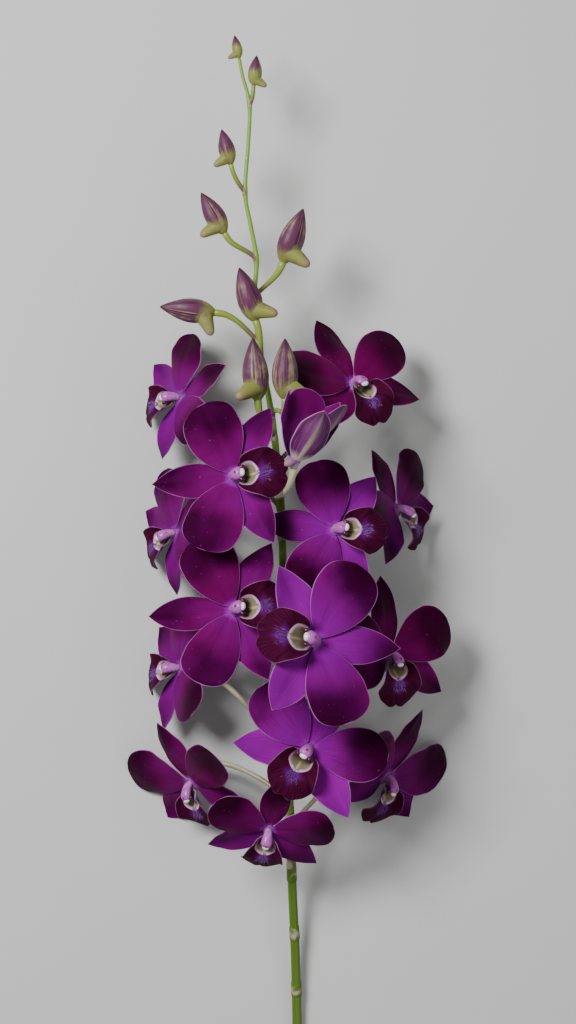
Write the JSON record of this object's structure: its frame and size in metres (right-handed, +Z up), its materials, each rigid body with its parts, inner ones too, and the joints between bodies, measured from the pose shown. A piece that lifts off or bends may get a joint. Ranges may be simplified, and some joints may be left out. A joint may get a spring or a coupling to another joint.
{
  "type": "dendrobium orchid stem",
  "caption": "Cut flower stem lying on its side, with a slim green stalk, broad dark purple blooms along its upper half and closed buds up to its tip.",
  "frame": {"origin": "bottom centre of the bounding box, on the surface that the stem lies on", "axes": "+Y along the stem from its cut end to its tip, +Z up from the surface, +X to the right of the stem seen from above"},
  "size_m": [0.1582, 0.5571, 0.11],
  "materials": {
    "stalk_green": "smooth fresh green stalk with a faint wax sheen",
    "tepal_purple": "dark purple petal with fine veins, a silky sheen and a pale rim",
    "lip_maroon": "velvety dark maroon with fine radial lines",
    "column_white": "waxy white and pink",
    "bud_mauve": "smooth mauve and green with long stripes"
  },
  "bodies": {
    "root": {"stem": "stalk_green", "bloom_01_tepals": "tepal_purple", "bloom_01_lip": "lip_maroon", "bloom_01_column": "column_white", "bloom_02_tepals": "tepal_purple", "bloom_02_lip": "lip_maroon", "bloom_02_column": "column_white", "bloom_03_tepals": "tepal_purple", "bloom_03_lip": "lip_maroon", "bloom_03_column": "column_white", "bloom_04_tepals": "tepal_purple", "bloom_04_lip": "lip_maroon", "bloom_04_column": "column_white", "bloom_05_tepals": "tepal_purple", "bloom_05_lip": "lip_maroon", "bloom_05_column": "column_white", "bloom_06_tepals": "tepal_purple", "bloom_06_lip": "lip_maroon", "bloom_06_column": "column_white", "bloom_07_tepals": "tepal_purple", "bloom_07_lip": "lip_maroon", "bloom_07_column": "column_white", "bloom_08_tepals": "tepal_purple", "bloom_08_lip": "lip_maroon", "bloom_08_column": "column_white", "bloom_09_tepals": "tepal_purple", "bloom_09_lip": "lip_maroon", "bloom_09_column": "column_white", "bloom_10_tepals": "tepal_purple", "bloom_10_lip": "lip_maroon", "bloom_10_column": "column_white", "bloom_11_tepals": "tepal_purple", "bloom_11_lip": "lip_maroon", "bloom_11_column": "column_white", "bloom_12_tepals": "tepal_purple", "bloom_12_lip": "lip_maroon", "bloom_12_column": "column_white", "bloom_13_tepals": "tepal_purple", "bloom_13_lip": "lip_maroon", "bloom_13_column": "column_white", "bloom_14_tepals": "tepal_purple", "bloom_14_lip": "lip_maroon", "bloom_14_column": "column_white", "opening_bloom": "tepal_purple", "bud_01": "bud_mauve", "bud_02": "bud_mauve", "bud_03": "bud_mauve", "bud_04": "bud_mauve", "bud_05": "bud_mauve", "bud_06": "bud_mauve", "bud_07": "bud_mauve", "bud_08": "bud_mauve", "bud_09": "bud_mauve"}
  },
  "joints": []
}
